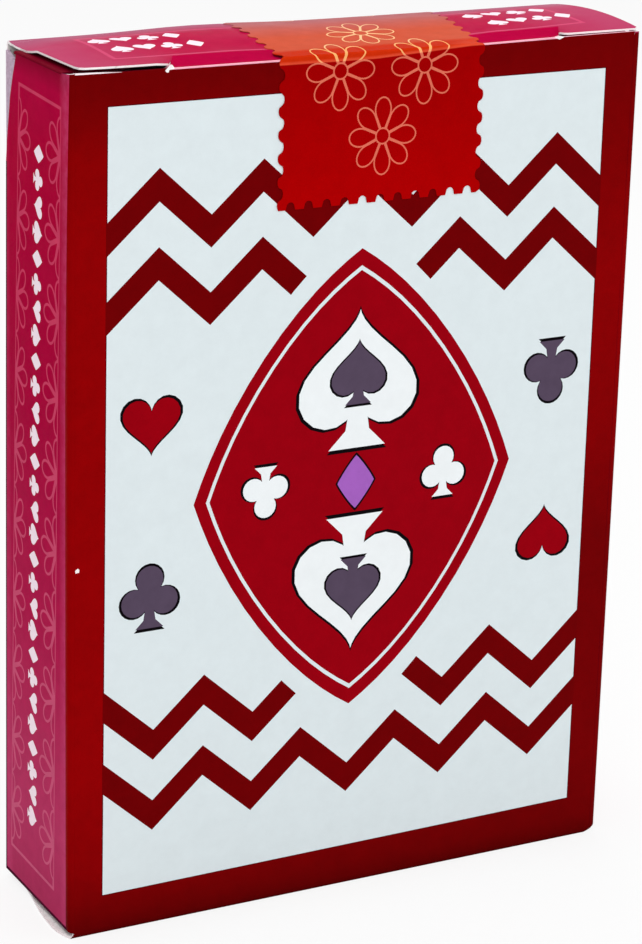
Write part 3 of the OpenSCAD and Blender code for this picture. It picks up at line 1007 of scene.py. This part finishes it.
def seal_edge(s0, s1, first, last):
    """The strip's outline between two places along it, with round bites along its sides and free ends."""
    pitch, first_bite, stagger, depth, squareness = 2.4, seal_base + 1.63, 0.08, 0.64, 0.45
    bites, end_margin, bite, bite_mouth, bite_wall = 11, 1.5, 0.46, 0.55, 0.34
    arcs = [math.pi * k / 6 for k in range(7)]
    points = []

    def side(start, end, edge):
        count = math.ceil(abs(end - start) / pitch * 10)
        for i in range(count + 1):
            s = start + (end - start) * i / count
            wave = math.cos(2 * math.pi * (s - first_bite - stagger * edge) / pitch)
            deep = depth / 2 * (1 + math.copysign(abs(wave) ** squareness, wave))
            points.append((s, edge * (seal_half_at(s) - deep)))

    def free_end(s, inward, way):
        half = seal_half_at(s)
        for i in range(bites):
            middle = way * (end_margin - half + 2 * (half - end_margin) * i / (bites - 1))
            points.append((s, middle - way * bite_mouth))
            for a in arcs:
                inside = s + inward * (bite_wall + bite * math.sin(a))
                points.append((inside, middle - way * bite * math.cos(a)))
            points.append((s, middle + way * bite_mouth))

    if first:
        free_end(s0, 1, 1)
    side(s0, s1, 1)
    if last:
        free_end(s1, -1, -1)
    side(s1, s0, -1)
    return points


def past_fold(points):
    """The petals that reach over the front fold run on further there, the short ones most of all."""
    stretch, head_start, reach = 0.25, 0.9, 0.6
    if min(s for s, _ in points) > corner:
        return points
    result = []
    for s, w in points:
        over = max(0.0, s - corner)
        result.append((s + stretch * over + head_start * (1 - math.exp(-over / reach)), w))
    return result


# The flowers' places along and across the strip, and how tall they are.
SEAL_FLOWERS = [(83.14, 0.08, 1.015), (90.1, -4.92, 1.015), (90.1, 4.76, 1.015), (corner + 7.1, 0.15, 1.1),
                (strip.high - 7.2, 0.0, 1.0), (hinge_to + 1.8, -4.8, 1.0), (hinge_to + 1.8, 4.8, 1.0)]
seal_bloom = flower(0, 0, 4.0, 0.16, [45 * i for i in range(8)], seal_line, seal_fill)
seal_design = []
for s, w, tall in SEAL_FLOWERS:
    for points, material in stretched(seal_bloom, s, w, tall, 0.98):
        seal_design.append((past_fold(points), material))


def seal_piece(name, s0, s1, first=False, last=False):
    return sheet(name, strip.at, strip.stops, profile, seal_edge(s0, s1, first, last),
                 clipped(seal_design, s0, s1), seal_fill, thick=skin * 0.9, inside=seal_gum, edge=seal_fill,
                 step=2.0, shift=seal_bow, slide=seal_slide)


seal_front_piece = seal_piece("seal_front_print", seal_base - 0.15, corner, first=True)
seal_top_piece = seal_piece("seal_top_print", corner, hinge_from)
seal_crease_piece = seal_piece("seal_crease", hinge_from, hinge_to)
seal_back_piece = seal_piece("seal_back_print", hinge_to, strip.high, last=True)
stands_for(seal_front_piece, "case", "seal_red", "seal_front")
stands_for(seal_top_piece, "lid", "seal_orange", "seal_bend", "seal_top")
stands_for(seal_back_piece, "case", "seal_red", "seal_back")
bends_at_hinge(seal_crease_piece)


# CAD nodes that stay: board flaps printed on one side, and the cards.
def board_flap(name, printed, *looks):
    """Printed on the faces that look along the given axes, bare on the others."""
    nodes = Nodes(name)
    facing = None
    for axis, sign in looks:
        toward = nodes.math("MULTIPLY", nodes.axis(axis, "Normal"), sign)
        facing = toward if facing is None else nodes.math("MAXIMUM", facing, toward)
    fibre = nodes.noise(FIBRE_SCALE, 5, 0.7)
    plain = nodes.shades(fibre, [(0.32, (216, 212, 208)), (0.62, (238, 236, 232))])
    on_print = nodes.spread(facing, 0.6, 0.65, 0.0, 1.0)
    colour = nodes.mix(on_print, plain, nodes.speckled(printed, 0.93, 1.06))
    return nodes.finish(colour, 0.6, 0.01, **FLAP_GRAIN)


def card_stock():
    """White card, each card of the pack a slightly different white."""
    card_pitch = 0.27
    nodes = Nodes("card_stock")
    fibre = nodes.noise(CARD_FIBRE_SCALE, 5, 0.7)
    colour = nodes.shades(fibre, [(0.3, (226, 224, 220)), (0.65, (246, 245, 242))])
    step = nodes.math("MULTIPLY", nodes.axis("Y"), 1 / (card_pitch * MM))
    tint = nodes.add("ShaderNodeTexWhiteNoise", noise_dimensions="1D")
    nodes.link(nodes.math("FLOOR", step), tint.inputs["W"])
    tone = nodes.spread(tint.outputs["Value"], 0.0, 1.0, 0.0, 0.35)
    colour = nodes.mix(tone, colour, linear(206, 200, 194))
    return nodes.finish(colour, 0.55, 0.3, **CARD_GRAIN)


TONGUE_CRIMSON, FLAP_SHADE_RED, INNER_CRIMSON, BASE_RED = (150, 6, 52), (112, 0, 28), (162, 4, 54), (96, 6, 44)
kept_nodes = {
    "tuck_tongue": board_flap("tongue_board", TONGUE_CRIMSON, ("Y", -1)),
    # The dust flaps are painted dark as painted shade under the lid, and so are their cut front edges.
    "left_dust_flap": board_flap("left_flap_shaded", FLAP_SHADE_RED, ("Z", 1), ("X", -1), ("Y", -1)),
    "right_dust_flap": board_flap("right_flap_shaded", FLAP_SHADE_RED, ("Z", 1), ("X", 1), ("Y", -1)),
    "bottom_inner_flap": board_flap("inner_flap_board", INNER_CRIMSON, ("Z", -1)),
    "bottom_left_flap": board_flap("bottom_left_board", BASE_RED, ("Z", -1), ("X", -1)),
    "bottom_right_flap": board_flap("bottom_right_board", BASE_RED, ("Z", -1), ("X", 1)),
    # The glue flap's bare board, painted grey-lilac as painted shade where it shows through the seam's
    # relief.
    "glue_flap": stock("glue_board_shaded", (204, 182, 200), (172, 144, 166)),
}
cards = card_stock()
for node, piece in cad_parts.items():
    material = kept_nodes.get(node)
    if material is None and ("_of_" in node or "joker" in node):
        material = cards
    if material is not None:
        for slot in piece.material_slots:
            slot.material = material


# Stage: a pale floor, three softboxes and a white surround.
def stage_level(tree, unseen, seen):
    """A level for the rays that only light the part, and one for those that see the stage."""
    path = tree.nodes.new("ShaderNodeLightPath")
    value = path.outputs["Is Camera Ray"]
    for kind in ("Is Glossy Ray", "Is Transmission Ray"):
        either = tree.nodes.new("ShaderNodeMath")
        either.operation = "MAXIMUM"
        tree.links.new(value, either.inputs[0])
        tree.links.new(path.outputs[kind], either.inputs[1])
        value = either.outputs["Value"]
    level = preset(tree.nodes.new("ShaderNodeMapRange"), {"To Min": unseen, "To Max": seen})
    tree.links.new(value, level.inputs["Value"])
    return level.outputs["Result"]


FLOOR_REACH, FLOOR_WHITE, FLOOR_GLOW, SURROUND_LIGHT = 4, 0.94, 0.82, 0.5
floor_mesh = bpy.data.meshes.new("floor")
floor_square = rect(-FLOOR_REACH, -FLOOR_REACH, FLOOR_REACH, FLOOR_REACH)
floor_mesh.from_pydata([(x, y, 0) for x, y in floor_square], [], [(0, 1, 2, 3)])
floor = bpy.data.objects.new("floor", floor_mesh)
show(floor)
floor_material = bpy.data.materials.new("floor_white")
floor_material.use_nodes = True
tree = floor_material.node_tree
tree.nodes.clear()
matte = preset(tree.nodes.new("ShaderNodeBsdfDiffuse"), {"Color": [FLOOR_WHITE] * 3 + [1.0]})
glow = preset(tree.nodes.new("ShaderNodeEmission"), {"Strength": 1.0})
blend = tree.nodes.new("ShaderNodeMixShader")
target = tree.nodes.new("ShaderNodeOutputMaterial")
tree.links.new(stage_level(tree, 0.0, FLOOR_GLOW), blend.inputs["Fac"])
tree.links.new(matte.outputs["BSDF"], blend.inputs[1])
tree.links.new(glow.outputs["Emission"], blend.inputs[2])
tree.links.new(blend.outputs["Shader"], target.inputs["Surface"])
floor_mesh.materials.append(floor_material)

world = bpy.data.worlds.new("studio")
bpy.context.scene.world = world
world.use_nodes = True
sky = world.node_tree
surround = sky.nodes["Background"]
surround.inputs["Color"].default_value = (1, 1, 1, 1)
sky.links.new(stage_level(sky, SURROUND_LIGHT, 1.0), surround.inputs["Strength"])


AIM_HEIGHT = 0.05


def softbox(name, spot, power, size):
    lamp = bpy.data.lights.new(name, "AREA")
    lamp.energy = power
    lamp.size = size
    box = bpy.data.objects.new(name, lamp)
    box.location = spot
    aim = Vector((0, 0, AIM_HEIGHT)) - Vector(spot)
    box.rotation_euler = aim.to_track_quat("-Z", "Y").to_euler()
    show(box)


softbox("key", (-0.3, -0.6, 0.55), 2.2, 0.5)
softbox("top", (0.0, 0.15, 0.8), 2.7, 0.6)
softbox("fill", (0.55, -0.45, 0.35), 0.9, 0.5)

# Camera: its direction in degrees, its place in millimetres and its focal length in pixels.
azimuth, elevation, roll = (math.radians(a) for a in (-28.208, 18.279, 1.545))
distance, to_right, to_top, centre_height = 331.81, 0.555, -0.199, 45
focal_pixels, picture_height, sensor_height = 3089.7, 944, 36.0
behind = Vector((math.sin(azimuth) * math.cos(elevation), -math.cos(azimuth) * math.cos(elevation),
                 math.sin(elevation)))
right_hand = Vector((0, 0, 1)).cross(behind).normalized()
upward = behind.cross(right_hand)
right_hand, upward = (math.cos(roll) * right_hand + math.sin(roll) * upward,
                      -math.sin(roll) * right_hand + math.cos(roll) * upward)
spot = (Vector((0, 0, centre_height)) + behind * distance + right_hand * to_right + upward * to_top) * MM
lens = bpy.data.cameras.new("camera")
lens.sensor_fit = "VERTICAL"
lens.sensor_height = sensor_height
lens.lens = focal_pixels * sensor_height / picture_height
lens.clip_start = 0.01
camera = bpy.data.objects.new("camera", lens)
camera.matrix_world = Matrix.Translation(spot) @ Matrix((right_hand, upward, behind)).transposed().to_4x4()
show(camera)
bpy.context.scene.camera = camera

bpy.context.scene.view_settings.view_transform = "Standard"
